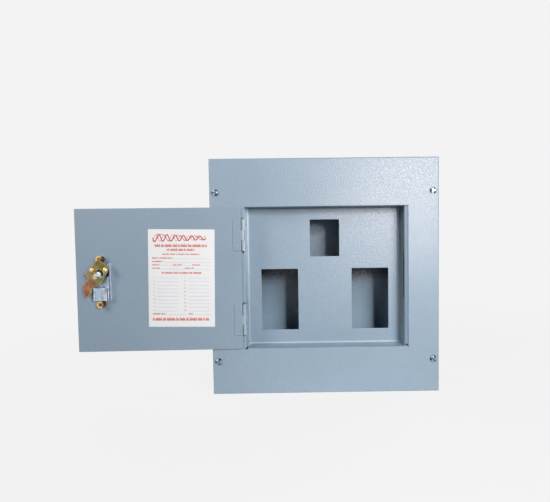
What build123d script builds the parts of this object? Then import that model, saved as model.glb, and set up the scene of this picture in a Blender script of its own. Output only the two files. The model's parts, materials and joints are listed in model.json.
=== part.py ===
from build123d import *
import math
import os

# Circuit breaker panel with its door open. Millimetres. +X right, +Z up, the front faces -Y.
# The origin is the centre of the box's back face, where the box meets the wall.

# Overall sizes
cover_width = 368.0
cover_height = 380.0
box_depth = 100.0
sheet = 1.5
pan_sheet = 1.2

# Cover
cover_edge = 11.0
cover_bend = 2.2
cover_slip = 0.75
opening_from_left = 55.2
opening_from_right = 49.8
opening_from_top = 77.0
opening_from_bottom = 74.4
opening_corner = 0.8
relief_width = 0.8
corner_dot_radius = 1.2

# How far a cutting tool reaches past the face it cuts, and how near counts as on a face
over = 1.0
nearness = 0.01

# Box
flange_width = 20.0
box_corner = 2.0
box_bend = 1.8
wall_hole_spacing_x = 280.0
wall_hole_spacing_z = 280.0
wall_hole_radius = 3.5
knockout_radius = 14.3
small_knockout_radius = 11.1
knockout_groove = 0.9
knockout_groove_depth = 0.7
knockout_pitch = 62.0
end_knockouts = 5
side_knockout_offset = 93.0
knockout_from_wall = 42.0

# Dead front pan
recess_depth = 30.0
ledge_width = 6.0
pan_flange = 14.0
pan_bend = 1.6
pole_pitch = 25.4
window_play = 1.4
least_margin_below_windows = 22.0
branch_window_width = 62.0
branch_window_pitch = 152.6
branch_window_below_opening = 102.0
main_window_width = 49.4
main_window_height = 62.0
main_window_below_opening = 19.4
window_group_shift = 0.9
window_corner = 1.2
slot_height = 76.0
slot_top_below_opening = 73.0
slot_depth = 7.2
slot_behind_cover = 4.2
slot_corner = 2.2

# Door
door_gap_hinge = 1.5
door_gap_latch = 0.7
door_gap_ends = 0.5
door_proud = 0.3
door_corner = 1.0
door_open_angle = 179.0

# Hinges
hinge_length = 50.0
upper_hinge_below_opening = 45.0
lower_hinge_above_opening = 47.6
hinge_leaf_width = 16.1
frame_leaf_width = 17.0
hinge_leaf = 1.2
hinge_bore = 1.75
pin_clearance = 0.05
pin_head_radius = 2.5
pin_head = 0.9
pin_head_round = 0.54
center_knuckle = 16.0
knuckle_gap = 0.3
leaf_gap = 0.3
notch_clearance = 0.5
notch_length = 54.0
notch_dot_radius = 1.25
rivet_spacing = 34.8
rivet_from_axis = 8.1
rivet_radius = 1.9
rivet_head_radius = 2.375
rivet_head = 0.35
rivet_head_round = 0.28

# Cover screws
screw_inset_x = 9.8
screw_inset_z = 54.0
screw_radius = 2.4
screw_clearance = 0.4
screw_head_radius = 5.4
screw_head = 3.6
screw_length = 14.0
screw_slot_width = 1.2
screw_slot_depth = 1.5
screw_dome_share = 0.8
screw_turns = (-30.0, 20.0, 50.0, 100.0)
nut_across_flats = 9.0
nut_height = 4.5
nut_fit = 0.05

# Directory card
card_width = 104.8
card_height = 155.8
card_thickness = 0.25
card_from_axis = 46.4
card_above_door_middle = 1.9
card_tilt = 1.0

# Latch, seen from the door's inner face with the door open
spindle_from_edge = 41.4
spindle_below_opening = 103.0
spindle_radius = 3.2
spindle_clearance = 0.06
barrel_radius = 6.0
barrel_height = 8.0
barrel_fit = 0.1
barrel_flange_radius = 9.0
barrel_flange = 1.4
rotor_height = 1.4
rotor_length = 28.5
rotor_width = 15.0
rotor_corner = 4.5
rotor_rise = 2.6
rotor_gap = 0.3
cam_plate = 2.0
cam_outline = ((-0.4, 23.8), (15.3, 10.2), (13.6, 3.1), (1.9, -15.2), (-14.4, -22.8), (-14.7, -28.8),
               (-23.2, -38.4), (-26.8, -33.5), (-27.1, -17.5), (-15.8, -6.7), (-20.8, 0.5))
cam_corner = 1.4
cam_blank = 60.0
cam_hole_radius = 6.9
cam_fold_direction = 244.4
cam_first_fold = 12.8
cam_second_fold = 26.8
cam_drop = 5.0
cam_screw_spacing = 20.2
cam_screw_rise = 6.4
cam_screw_radius = 1.5
cam_screw_head_radius = 3.6
cam_screw_head = 2.6
cam_screw_head_round = 2.21
spindle_end_above_cam = 0.8
spindle_end_round = 1.0

bracket_sheet = 1.6
bracket_left = 12.2
bracket_right = 12.3
bracket_top = 16.0
bracket_bottom = 42.8
bracket_corner = 1.5
bracket_side_height = 7.8
bracket_side_top = 16.0
bracket_bend = 1.2
block_width = 21.2
block_height = 20.0
block_depth = 6.6
block_top = 22.6
block_corner = 1.0
insert_height = 9.8
insert_depth = 6.0
insert_drop = 3.3
stud_x = -1.5
top_stud_rise = 22.3
bottom_stud_drop = 48.9
stud_radius = 2.9
stud_hole_clearance = 0.3
stud_below_nut = 0.8
stud_head_radius = 6.0
stud_head = 1.8
stud_head_round = 1.26
stud_nut_flats = 10.4
stud_nut_height = 7.4
stud_nut_corner_radius = 5.824

escutcheon_width = 40.0
escutcheon_height = 96.0
escutcheon_thickness = 2.0
escutcheon_corner = 6.0
knob_radius = 14.0
knob_height = 7.0
knob_grip_width = 6.0
knob_grip_height = 11.0
knob_grip_inset = 1.0
knob_grip_corner = 2.7
knob_gap = 0.3
knob_edge = 1.0

# Bus assembly, out of sight behind the strip between the windows
bus_base_width = 80.0
bus_base_above_windows = 5.0
bus_base_below_windows = 42.0
bus_base_thickness = 6.0
bus_base_corner = 3.0
bus_spacer_height = 14.0
bus_spacer_radius = 6.0
bus_base_hole_spacing_x = 20.0
bus_base_hole_inset_z = 9.0
bus_bar_width = 14.0
bus_bar_thickness = 3.0
bus_bar_inset = 11.0
bus_bar_pitch = 44.0
bus_rib_height = 5.0
bus_rib_width = 4.0
bus_rib_corner = 1.6
bus_rib_inset = 20.0
tab_width = 10.0
tab_length = 9.0
bus_screw_inset = 8.0
bus_screw_radius = 2.0
bus_screw_head_radius = 3.9
bus_screw_head = 2.6
bus_screw_turn = 70.0
base_screw_radius = 2.4
base_screw_head_radius = 4.4
base_screw_head = 3.0
base_screw_turn = 20.0
screw_end_inside_back = 0.3
hole_clearance = 0.3

# Earthing bar in the bottom margin
ground_bar_length = 120.0
ground_bar_width = 11.0
ground_bar_height = 9.0
ground_bar_above_bottom = 26.0
ground_foot_height = 10.0
ground_foot_length = 12.0
ground_wire_holes = 9
ground_wire_pitch = 10.0
ground_wire_radius = 2.6
ground_screw_radius = 2.4
ground_screw_head_radius = 3.3
ground_screw_head = 2.0
foot_screw_turn = 15.0
clamp_screw_turn = 50.0
clamp_screw_turn_step = 20.0

# Places worked out from the driving sizes
cover_face = -(box_depth + sheet)
cover_back = -box_depth
opening_left = -cover_width / 2 + opening_from_left
opening_right = cover_width / 2 - opening_from_right
opening_top = cover_height / 2 - opening_from_top
opening_bottom = -cover_height / 2 + opening_from_bottom

box_width = cover_width - 2 * (sheet + cover_slip)
box_height = cover_height - 2 * (sheet + cover_slip)

pan_left = opening_left
pan_right = opening_right - ledge_width
pan_top = opening_top
pan_bottom = opening_bottom
pan_x = (pan_left + pan_right) / 2
dead_front = cover_face + recess_depth

window_x = pan_x + window_group_shift
branch_room = opening_top - opening_bottom - branch_window_below_opening - least_margin_below_windows
pole_count = int(branch_room / pole_pitch)
branch_window_height = pole_count * pole_pitch + window_play
branch_window_z = opening_top - branch_window_below_opening - branch_window_height / 2
main_window_z = opening_top - main_window_below_opening - main_window_height / 2

barrel_outer = hinge_bore + hinge_leaf
hinge_x = opening_left - hinge_bore
door_outer_closed = cover_face - door_proud
door_inner_closed = door_outer_closed + sheet
hinge_y = door_inner_closed - hinge_bore
door_left_closed = opening_left + door_gap_hinge
door_right_closed = opening_right - door_gap_latch
door_top = opening_top - door_gap_ends
door_bottom = opening_bottom + door_gap_ends
door_z = (door_top + door_bottom) / 2
hinge_heights = (opening_top - upper_hinge_below_opening, opening_bottom + lower_hinge_above_opening)

notch_left = hinge_x - barrel_outer - notch_clearance
notch_back = hinge_y + barrel_outer + leaf_gap

spindle_x = door_right_closed - spindle_from_edge
spindle_z = opening_top - spindle_below_opening


def block(x0, x1, y0, y1, z0, z1):
    """A box between two corners."""
    return Pos((x0 + x1) / 2, (y0 + y1) / 2, (z0 + z1) / 2) * Box(x1 - x0, y1 - y0, z1 - z0)


def rod(x, z, radius, y0, y1):
    """A cylinder along Y from y0 to y1."""
    return Pos(x, (y0 + y1) / 2, z) * Rot(90, 0, 0) * Cylinder(radius, y1 - y0)


def upright(x, y, radius, z0, z1):
    """A cylinder along Z from z0 to z1."""
    return Pos(x, y, (z0 + z1) / 2) * Cylinder(radius, z1 - z0)


def hexagon(x, z, across_flats, y0, y1):
    """A hexagonal prism along Y."""
    plane = Plane(origin=(x, y1, z), x_dir=(1, 0, 0), z_dir=(0, -1, 0))
    outline = plane * RegularPolygon(across_flats / 2, 6, major_radius=False)
    return extrude(outline, y1 - y0)


def sheet_outline(points, y0, y1):
    """A flat sheet from an outline in X and Z, between two depths."""
    outline = Polyline([(x, y1, z) for x, z in points], close=True)
    return extrude(make_face(outline), y1 - y0, dir=(0, -1, 0))


def edges_along(shape, axis):
    return shape.edges().filter_by(axis)


def rim_edges(shape, depth):
    """Edges whose centre lies at one depth along Y."""
    return [edge for edge in shape.edges() if abs(edge.center().Y - depth) < nearness]


def near(edges, **limits):
    """Edges whose centre lies within the limits given as x=(low, high) and so on."""
    picked = []
    for edge in edges:
        center = edge.center()
        place = {"x": center.X, "y": center.Y, "z": center.Z}
        if all(low <= place[name] <= high for name, (low, high) in limits.items()):
            picked.append(edge)
    return picked


def opened(shape):
    """Turns a piece of the door from closed to the open rest position."""
    turn = Pos(hinge_x, hinge_y, 0) * Rot(0, 0, -door_open_angle) * Pos(-hinge_x, -hinge_y, 0)
    return turn * shape


def save(name, shape):
    solids = shape.solids()
    result = solids[0] if len(solids) == 1 else Compound(children=list(solids))
    result.label = name
    export_step(result, "parts/" + name + ".step")


# Enclosure box: one folded sheet with return flanges at the front
def enclosure_box():
    half_w = box_width / 2
    half_h = box_height / 2
    body = block(-half_w, half_w, -box_depth, 0, -half_h, half_h)
    body = fillet(edges_along(body, Axis.Y), box_corner)
    body = fillet(rim_edges(body, 0), box_bend)
    body = fillet(rim_edges(body, -box_depth), box_bend)
    inner = block(-half_w + sheet, half_w - sheet, -box_depth + sheet, -sheet, -half_h + sheet, half_h - sheet)
    mouth_w = half_w - flange_width
    mouth_h = half_h - flange_width
    mouth = block(-mouth_w, mouth_w, -box_depth - over, -box_depth + sheet + over, -mouth_h, mouth_h)
    body = body - inner - mouth
    for sx in (-1, 1):
        for sz in (-1, 1):
            x = sx * wall_hole_spacing_x / 2
            z = sz * wall_hole_spacing_z / 2
            body -= rod(x, z, wall_hole_radius, -sheet - over, over)
            body -= corner_slit(sx * mouth_w, sz * mouth_h, sx, sz)
    for x, z in cover_screw_places():
        body -= cover_screw_hole(x, z, -box_depth - over, -box_depth + sheet + over)
    for x, z in base_screw_places():
        body -= rod(x, z, base_screw_radius + hole_clearance, -sheet - over, over)
    for x, z in ground_foot_places():
        body -= rod(x, z, ground_screw_radius + hole_clearance, -sheet - over, over)
    for side in (-1, 1):
        for index in range(end_knockouts):
            radius = knockout_radius if index % 2 == 0 else small_knockout_radius
            x = (index - (end_knockouts - 1) / 2) * knockout_pitch
            place = Pos(x, -knockout_from_wall, side * half_h)
            body -= place * knockout_ring(radius, Rot(0, 0, 0))
        for rise in (-side_knockout_offset, side_knockout_offset):
            place = Pos(side * half_w, -knockout_from_wall, rise)
            body -= place * knockout_ring(knockout_radius, Rot(0, 90, 0))
    return body


def knockout_ring(radius, turn):
    """The scored ring of a knockout, cut into the outer face."""
    ring = Cylinder(radius, 2 * knockout_groove_depth) - Cylinder(radius - knockout_groove, 4 * knockout_groove_depth)
    return turn * ring


def corner_slit(x, z, sx, sz):
    """The open mitre between two return flanges."""
    length = flange_width * math.sqrt(2)
    angle = 45 if sx == sz else -45
    place = Pos(x + sx * flange_width / 2, -box_depth + sheet / 2, z + sz * flange_width / 2)
    return place * Rot(0, -angle, 0) * Box(length - 4 * sheet, sheet + 2 * over, relief_width)


def cover_screw_places():
    x = cover_width / 2 - screw_inset_x
    z = cover_height / 2 - screw_inset_z
    return [(sx * x, sz * z) for sx in (-1, 1) for sz in (-1, 1)]


def cover_screw_hole(x, z, y0, y1):
    return rod(x, z, screw_radius + screw_clearance, y0, y1)


# Front cover: one sheet with back-turned edges
def front_cover():
    half_w = cover_width / 2
    half_h = cover_height / 2
    back = cover_face + cover_edge
    body = block(-half_w, half_w, cover_face, back, -half_h, half_h)
    body = fillet(rim_edges(body, cover_face), cover_bend)
    inner = block(-half_w + sheet, half_w - sheet, cover_back, back + over, -half_h + sheet, half_h - sheet)
    body -= fillet(rim_edges(inner, cover_back), cover_bend - sheet)
    opening = block(opening_left, opening_right, cover_face - over, cover_back + over, opening_bottom, opening_top)
    body -= fillet(edges_along(opening, Axis.Y), opening_corner)
    for sx in (-1, 1):
        for sz in (-1, 1):
            slit = Box(3 * cover_bend, cover_edge, relief_width)
            turn = Rot(0, -45 if sx == sz else 45, 0)
            place = Pos(sx * half_w, cover_back + cover_edge / 2, sz * half_h)
            body -= place * turn * slit
    for x, z in cover_screw_places():
        body -= cover_screw_hole(x, z, cover_face - over, cover_back + over)
    for z, side in zip(hinge_heights, (1, -1)):
        body -= hinge_notch(z, cover_face - over, cover_back + over)
        inner_end = z - side * notch_length / 2
        body -= rod(hinge_x, inner_end, notch_dot_radius, cover_face - over, cover_back + over)
    for x in (opening_left, opening_right):
        body -= rod(x, opening_bottom, corner_dot_radius, cover_face - over, cover_back + over)
    return body


def hinge_notch(z, y0, y1):
    """The notch that clears a hinge barrel, open to the door opening."""
    return block(notch_left, opening_left + over, y0, y1, z - notch_length / 2, z + notch_length / 2)


# Dead front pan: one folded pan with flanges behind the cover
def dead_front_pan():
    flange_back = cover_back + pan_sheet
    pan_back = dead_front + pan_sheet
    outer = block(pan_left - pan_sheet, pan_right + pan_sheet, cover_back, pan_back,
                  pan_bottom - pan_sheet, pan_top + pan_sheet)
    outer = fillet(rim_edges(outer, pan_back), pan_bend)
    flange = block(pan_left - pan_flange, pan_right + pan_flange, cover_back, flange_back,
                   pan_bottom - pan_flange, pan_top + pan_flange)
    body = outer + flange
    hollow = block(pan_left, pan_right, cover_back - over, dead_front, pan_bottom, pan_top)
    body -= fillet(rim_edges(hollow, dead_front), pan_bend - pan_sheet)
    for center_x, center_z, width, height in windows():
        cut = block(center_x - width / 2, center_x + width / 2, dead_front - over, pan_back + over,
                    center_z - height / 2, center_z + height / 2)
        body -= fillet(edges_along(cut, Axis.Y), window_corner)
    slot_top = opening_top - slot_top_below_opening
    slot_front = cover_face + slot_behind_cover
    slot = block(pan_right - over, pan_right + pan_sheet + over, slot_front, slot_front + slot_depth,
                 slot_top - slot_height, slot_top)
    body -= fillet(edges_along(slot, Axis.X), slot_corner)
    for z in hinge_heights:
        body -= hinge_notch(z, cover_back - over, notch_back)
        for place in rivet_heights(z):
            body -= frame_rivet_bore(place)
    return body


def windows():
    """Centre and size of the three breaker windows."""
    half = branch_window_pitch / 2
    return ((window_x - half, branch_window_z, branch_window_width, branch_window_height),
            (window_x + half, branch_window_z, branch_window_width, branch_window_height),
            (window_x, main_window_z, main_window_width, main_window_height))


# Door: one flat sheet, built closed and turned open
def door():
    body = block(door_left_closed, door_right_closed, door_outer_closed, door_inner_closed,
                 door_bottom, door_top)
    body = fillet(edges_along(body, Axis.Y), door_corner)
    body -= rod(spindle_x, spindle_z, barrel_radius + barrel_fit, door_outer_closed - over, door_inner_closed + over)
    for z in stud_heights():
        x = spindle_x - stud_x
        body -= rod(x, z, stud_radius + stud_hole_clearance, door_outer_closed - over, door_inner_closed + over)
    for z in hinge_heights:
        for place in rivet_heights(z):
            body -= rod(hinge_x + rivet_from_axis, place, rivet_radius,
                        door_outer_closed - over, door_inner_closed + over)
    return opened(body)


def rivet_heights(z):
    return (z - rivet_spacing / 2, z + rivet_spacing / 2)


def stud_heights():
    return (spindle_z + top_stud_rise, spindle_z - bottom_stud_drop)


# Hinges
def knuckle(z0, z1):
    ring = upright(hinge_x, hinge_y, barrel_outer, z0, z1)
    return ring - upright(hinge_x, hinge_y, hinge_bore, z0 - over, z1 + over)


def door_leaf(z):
    """Leaf on the door's inner face with the middle knuckle, built closed."""
    half = hinge_length / 2
    back = door_inner_closed + hinge_leaf
    start = hinge_x + barrel_outer + leaf_gap
    leaf = block(start, hinge_x + hinge_leaf_width, door_inner_closed, back, z - half, z + half)
    tip_edges = near(edges_along(leaf, Axis.Y), x=(start + over, hinge_x + hinge_leaf_width + over))
    leaf = fillet(tip_edges, door_corner)
    knuckle_half = center_knuckle / 2
    neck = block(hinge_x, start + over, door_inner_closed, back, z - knuckle_half, z + knuckle_half)
    curl = knuckle(z - knuckle_half, z + knuckle_half)
    slot = block(hinge_x, hinge_x + barrel_outer + over, hinge_y, hinge_y + hinge_bore,
                 z - knuckle_half - over, z + knuckle_half + over)
    leaf = leaf + neck + (curl - slot)
    bore = upright(hinge_x, hinge_y, hinge_bore, z - knuckle_half - over, z + knuckle_half + over)
    leaf -= bore
    for place in rivet_heights(z):
        leaf -= rod(hinge_x + rivet_from_axis, place, rivet_radius, door_inner_closed - over, back + over)
    return opened(leaf)


def frame_leaf(z):
    """Leaf on the pan's left wall with the two outer knuckles."""
    half = hinge_length / 2
    knuckle_end = center_knuckle / 2 + knuckle_gap
    leaf_right = opening_left + hinge_leaf
    leaf = block(opening_left, leaf_right, notch_back, notch_back + frame_leaf_width, z - half, z + half)
    leaf = fillet(near(edges_along(leaf, Axis.X), y=(notch_back + over, math.inf)), door_corner)
    for z0, z1 in ((z - half, z - knuckle_end), (z + knuckle_end, z + half)):
        neck = block(opening_left, leaf_right, hinge_y, notch_back + over, z0, z1)
        slot = block(hinge_x + hinge_bore - over, opening_left, hinge_y, hinge_y + barrel_outer + over,
                     z0 - over, z1 + over)
        curl = knuckle(z0, z1) - slot
        leaf = leaf + neck + curl
        leaf -= upright(hinge_x, hinge_y, hinge_bore, z0 - over, z1 + over)
    for place in rivet_heights(z):
        leaf -= frame_rivet_bore(place)
    return leaf


def hinge_pin(z):
    half = hinge_length / 2
    pin = upright(hinge_x, hinge_y, hinge_bore - pin_clearance, z - half, z + half)
    for side in (-1, 1):
        end = z + side * half
        head = upright(hinge_x, hinge_y, pin_head_radius, min(end, end + side * pin_head),
                       max(end, end + side * pin_head))
        outer_edges = [e for e in head.edges() if abs(e.center().Z - end - side * pin_head) < nearness]
        pin += fillet(outer_edges, pin_head_round)
    return pin


def frame_rivet_y():
    return notch_back + frame_leaf_width / 2


def frame_rivet_bore(z):
    return Pos(opening_left, frame_rivet_y(), z) * Rot(0, 90, 0) * Cylinder(rivet_radius, 2 * (pan_sheet + hinge_leaf + over))


def door_rivets():
    """Flush rivets through the door and its leaves, headed a little on both faces."""
    group = None
    for z in hinge_heights:
        for place in rivet_heights(z):
            x = hinge_x + rivet_from_axis
            back = door_inner_closed + hinge_leaf
            body = rod(x, place, rivet_radius, door_outer_closed, back)
            for face, side in ((door_outer_closed, -1), (back, 1)):
                end = face + side * rivet_head
                head = rod(x, place, rivet_head_radius, min(face, end), max(face, end))
                body += fillet(rim_edges(head, end), rivet_head_round)
            group = body if group is None else group + body
    return opened(group)


def frame_rivets():
    group = None
    for z in hinge_heights:
        for place in rivet_heights(z):
            x0 = opening_left - pan_sheet
            x1 = opening_left + hinge_leaf
            center = Pos((x0 + x1) / 2, frame_rivet_y(), place) * Rot(0, 90, 0)
            body = center * Cylinder(rivet_radius, x1 - x0)
            for face, side in ((x0, -1), (x1, 1)):
                spot = Pos(face + side * rivet_head / 2, frame_rivet_y(), place) * Rot(0, 90, 0)
                head = spot * Cylinder(rivet_head_radius, rivet_head)
                rim = [e for e in head.edges() if abs(e.center().X - face - side * rivet_head) < nearness]
                body += fillet(rim, rivet_head_round)
            group = body if group is None else group + body
    return group


# Fasteners
def domed_screw(x, z, face, shank, length, head_radius, head, slot_angle):
    """A slotted screw with a domed head, its head on the face and its shank along +Y."""
    body = rod(x, z, head_radius, face - head, face)
    body = fillet(rim_edges(body, face - head), head * screw_dome_share)
    slot = Box(2 * (head_radius + over), screw_slot_depth, screw_slot_width)
    body -= Pos(x, face - head + screw_slot_depth / 2 - nearness, z) * Rot(0, slot_angle, 0) * slot
    body += rod(x, z, shank, face, face + length)
    return body


def cover_screws():
    group = None
    for (x, z), turn in zip(cover_screw_places(), screw_turns):
        body = domed_screw(x, z, cover_face, screw_radius, screw_length, screw_head_radius, screw_head, turn)
        group = body if group is None else group + body
    return group


def cover_nuts():
    group = None
    start = cover_back + sheet
    for x, z in cover_screw_places():
        body = hexagon(x, z, nut_across_flats, start, start + nut_height)
        body -= rod(x, z, screw_radius + nut_fit, start - over, start + nut_height + over)
        group = body if group is None else group + body
    return group


def directory_card():
    """The card, pasted on the door's inner face and turned a degree."""
    x0 = hinge_x + card_from_axis
    x1 = x0 + card_width
    center = ((x0 + x1) / 2, door_z + card_above_door_middle)
    half = card_height / 2
    card = block(x0, x1, door_inner_closed, door_inner_closed + card_thickness, center[1] - half, center[1] + half)
    turn = Pos(center[0], 0, center[1]) * Rot(0, -card_tilt, 0) * Pos(-center[0], 0, -center[1])
    return opened(turn * card)


# Latch. Its pieces are drawn as seen on the open door's inner face: u to the right and w up from the
# spindle, d out from the door's inner face, and they are mirrored into the closed position.
def face_place(u, w, d):
    return (spindle_x - u, door_inner_closed + d, spindle_z + w)


def face_block(u0, u1, w0, w1, d0, d1):
    x0, y0, z0 = face_place(u1, w0, d0)
    x1, y1, z1 = face_place(u0, w1, d1)
    return block(x0, x1, y0, y1, z0, z1)


def face_rod(u, w, radius, d0, d1):
    x, y0, z = face_place(u, w, d0)
    return rod(x, z, radius, y0, door_inner_closed + d1)


def face_hexagon(u, w, flats, d0, d1):
    x, y0, z = face_place(u, w, d0)
    return hexagon(x, z, flats, y0, door_inner_closed + d1)


def latch_bracket():
    """Plate on the door with its right side turned up."""
    plate = face_block(-bracket_left, bracket_right, -bracket_bottom, bracket_top, 0, bracket_sheet)
    plate = fillet(edges_along(plate, Axis.Y), bracket_corner)
    side = face_block(bracket_right - bracket_sheet, bracket_right, -bracket_bottom + bracket_corner,
                      bracket_side_top - bracket_corner, 0, bracket_side_height)
    top_edges = [e for e in edges_along(side, Axis.X)
                 if e.center().Y > door_inner_closed + bracket_side_height - nearness]
    side = fillet(top_edges, bracket_bend)
    body = plate + side
    body -= face_rod(0, 0, barrel_radius + barrel_fit, -over, bracket_sheet + over)
    return body


def block_right():
    return bracket_right - bracket_sheet - insert_width()


def insert_width():
    return bracket_right - bracket_sheet + bracket_left - block_width - stud_hole_clearance


def latch_block():
    """Solid guide block on the bracket's plate."""
    u1 = block_right()
    u0 = u1 - block_width
    body = face_block(u0, u1, -block_top - block_height, -block_top, bracket_sheet, bracket_sheet + block_depth)
    return fillet(rim_edges(body, door_inner_closed + bracket_sheet + block_depth), block_corner)


def latch_insert():
    """Soft insert between the block and the bracket's raised side."""
    top = -block_top - insert_drop
    return face_block(block_right(), bracket_right - bracket_sheet, top - insert_height, top,
                      bracket_sheet, bracket_sheet + insert_depth)


def stud_rises():
    return (top_stud_rise, -bottom_stud_drop)


def latch_studs():
    """Two studs through the escutcheon and the door, headed outside."""
    group = None
    start = -sheet - escutcheon_thickness
    for rise in stud_rises():
        body = face_rod(stud_x, rise, stud_radius, start, stud_nut_height - stud_below_nut)
        head = face_rod(stud_x, rise, stud_head_radius, start - stud_head, start)
        rim = rim_edges(head, door_inner_closed + start - stud_head)
        body += fillet(rim, stud_head_round)
        group = body if group is None else group + body
    return group


def latch_nuts():
    group = None
    for rise in stud_rises():
        body = face_hexagon(stud_x, rise, stud_nut_flats, 0, stud_nut_height)
        body &= face_rod(stud_x, rise, stud_nut_corner_radius, -over, stud_nut_height + over)
        body -= face_rod(stud_x, rise, stud_radius + nut_fit, -over, stud_nut_height + over)
        group = body if group is None else group + body
    return group


def latch_barrel():
    """Flanged sleeve that holds the bracket and carries the spindle through the door."""
    body = face_rod(0, 0, barrel_radius, -sheet - escutcheon_thickness, barrel_height)
    body += face_rod(0, 0, barrel_flange_radius, bracket_sheet, bracket_sheet + barrel_flange)
    body -= face_rod(0, 0, spindle_radius + spindle_clearance, -sheet - escutcheon_thickness - over,
                     barrel_height + over)
    return body


def rotor_bottom():
    return barrel_height + rotor_gap


def cam_bottom():
    return rotor_bottom() + rotor_height


def latch_spindle():
    """Turned spindle with a rotor plate under the cam and a domed end above it."""
    top = cam_bottom() + cam_plate + spindle_end_above_cam
    outer = -sheet - escutcheon_thickness - knob_gap
    body = face_rod(0, 0, spindle_radius, outer, top)
    body = fillet(rim_edges(body, door_inner_closed + top), spindle_end_round)
    rotor = face_block(-rotor_length / 2, rotor_length / 2, rotor_rise - rotor_width / 2,
                       rotor_rise + rotor_width / 2, rotor_bottom(), cam_bottom())
    body += fillet(edges_along(rotor, Axis.Y), rotor_corner)
    return body - cam_screw_bores(rotor_bottom() - over, cam_bottom() + over)


def cam_screw_bores(d0, d1):
    bores = [face_rod(side * cam_screw_spacing / 2, cam_screw_rise, cam_screw_radius, d0, d1)
             for side in (-1, 1)]
    return bores[0] + bores[1]


def latch_cam():
    """Bent sheet: a plate, a sloping leg and a pointed tongue nearer the door."""
    low = cam_bottom()
    high = low + cam_plate
    profile = [(-cam_blank, low), (-cam_blank, high), (cam_first_fold, high), (cam_second_fold, high - cam_drop),
               (cam_blank, high - cam_drop), (cam_blank, low - cam_drop), (cam_second_fold, low - cam_drop),
               (cam_first_fold, low)]
    outline = [face_place(along, -cam_blank, d) for along, d in profile]
    bent = extrude(make_face(Polyline(outline, close=True)), 2 * cam_blank, dir=(0, 0, 1))
    x, y, z = face_place(0, 0, 0)
    bent = Pos(x, 0, z) * Rot(0, cam_fold_direction, 0) * Pos(-x, 0, -z) * bent
    plan = [(face_place(u, w, 0)[0], face_place(u, w, 0)[2]) for u, w in cam_outline]
    sides = sheet_outline(plan, door_inner_closed, door_inner_closed + high + over)
    body = bent & fillet(edges_along(sides, Axis.Y), cam_corner)
    body -= face_rod(0, 0, cam_hole_radius, low - over, high + over)
    return body - cam_screw_bores(low - over, high + over)


def latch_cam_screws():
    group = None
    high = cam_bottom() + cam_plate
    for side in (-1, 1):
        u = side * cam_screw_spacing / 2
        head = face_rod(u, cam_screw_rise, cam_screw_head_radius, high, high + cam_screw_head)
        body = fillet(rim_edges(head, door_inner_closed + high + cam_screw_head), cam_screw_head_round)
        body += face_rod(u, cam_screw_rise, cam_screw_radius, rotor_bottom(), high)
        group = body if group is None else group + body
    return group


def latch_escutcheon():
    """Plate on the door's outer face, held by the two studs."""
    middle = (top_stud_rise - bottom_stud_drop) / 2
    body = face_block(stud_x - escutcheon_width / 2, stud_x + escutcheon_width / 2,
                      middle - escutcheon_height / 2, middle + escutcheon_height / 2,
                      -sheet - escutcheon_thickness, -sheet)
    body = fillet(edges_along(body, Axis.Y), escutcheon_corner)
    outside = -sheet - escutcheon_thickness - over
    body -= face_rod(0, 0, barrel_radius + barrel_fit, outside, 0)
    for rise in stud_rises():
        body -= face_rod(stud_x, rise, stud_radius + stud_hole_clearance, outside, 0)
    return body


def latch_knob():
    """Knob with a finger bar, fixed on the spindle's outer end."""
    start = -sheet - escutcheon_thickness - knob_gap
    end = start - knob_height
    disc = face_rod(0, 0, knob_radius, end, start)
    disc = fillet(rim_edges(disc, door_inner_closed + end), knob_edge)
    reach = knob_radius - knob_grip_inset
    bar = face_block(-reach, reach, -knob_grip_width / 2, knob_grip_width / 2, end - knob_grip_height, end + over)
    bar = fillet(edges_along(bar, Axis.Y), knob_grip_corner)
    return disc + bar


# Bus assembly
def base_top():
    return branch_window_z + branch_window_height / 2 + bus_base_above_windows


def base_height():
    return bus_base_above_windows + branch_window_height + bus_base_below_windows


def bar_length():
    return base_height() - 2 * bus_bar_inset


def base_center():
    return window_x, base_top() - base_height() / 2


def base_screw_places():
    x, z = base_center()
    half_x = bus_base_hole_spacing_x / 2
    half_z = base_height() / 2 - bus_base_hole_inset_z
    return [(x + sx * half_x, z + sz * half_z) for sx in (-1, 1) for sz in (-1, 1)]


def base_back():
    return -sheet - bus_spacer_height


def base_front():
    return base_back() - bus_base_thickness


def bar_center(side):
    return window_x + side * bus_bar_pitch / 2


def bar_screw_heights():
    x, z = base_center()
    half = bar_length() / 2 - bus_screw_inset
    return (z - half, z, z + half)


def bus_base():
    """Moulded insulating base with a barrier rib between the bars."""
    x, z = base_center()
    half_w = bus_base_width / 2
    half_h = base_height() / 2
    body = block(x - half_w, x + half_w, base_front(), base_back(), z - half_h, z + half_h)
    body = fillet(edges_along(body, Axis.Y), bus_base_corner)
    rib = block(x - bus_rib_width / 2, x + bus_rib_width / 2, base_front() - bus_rib_height, base_front() + over,
                z - half_h + bus_rib_inset, z + half_h - bus_rib_inset)
    body += fillet(edges_along(rib, Axis.Y), bus_rib_corner)
    for px, pz in base_screw_places():
        body -= rod(px, pz, base_screw_radius + hole_clearance, base_front() - over, base_back() + over)
    for side in (-1, 1):
        for pz in bar_screw_heights():
            body -= rod(bar_center(side), pz, bus_screw_radius + nut_fit, base_front() - over, base_back() + over)
    return body


def base_spacers():
    group = None
    for x, z in base_screw_places():
        body = rod(x, z, bus_spacer_radius, base_back(), -sheet)
        body -= rod(x, z, base_screw_radius + hole_clearance, base_back() - over, -sheet + over)
        group = body if group is None else group + body
    return group


def base_screws():
    group = None
    for x, z in base_screw_places():
        body = domed_screw(x, z, base_front(), base_screw_radius, -base_front() - screw_end_inside_back,
                           base_screw_head_radius, base_screw_head, base_screw_turn)
        group = body if group is None else group + body
    return group


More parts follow.
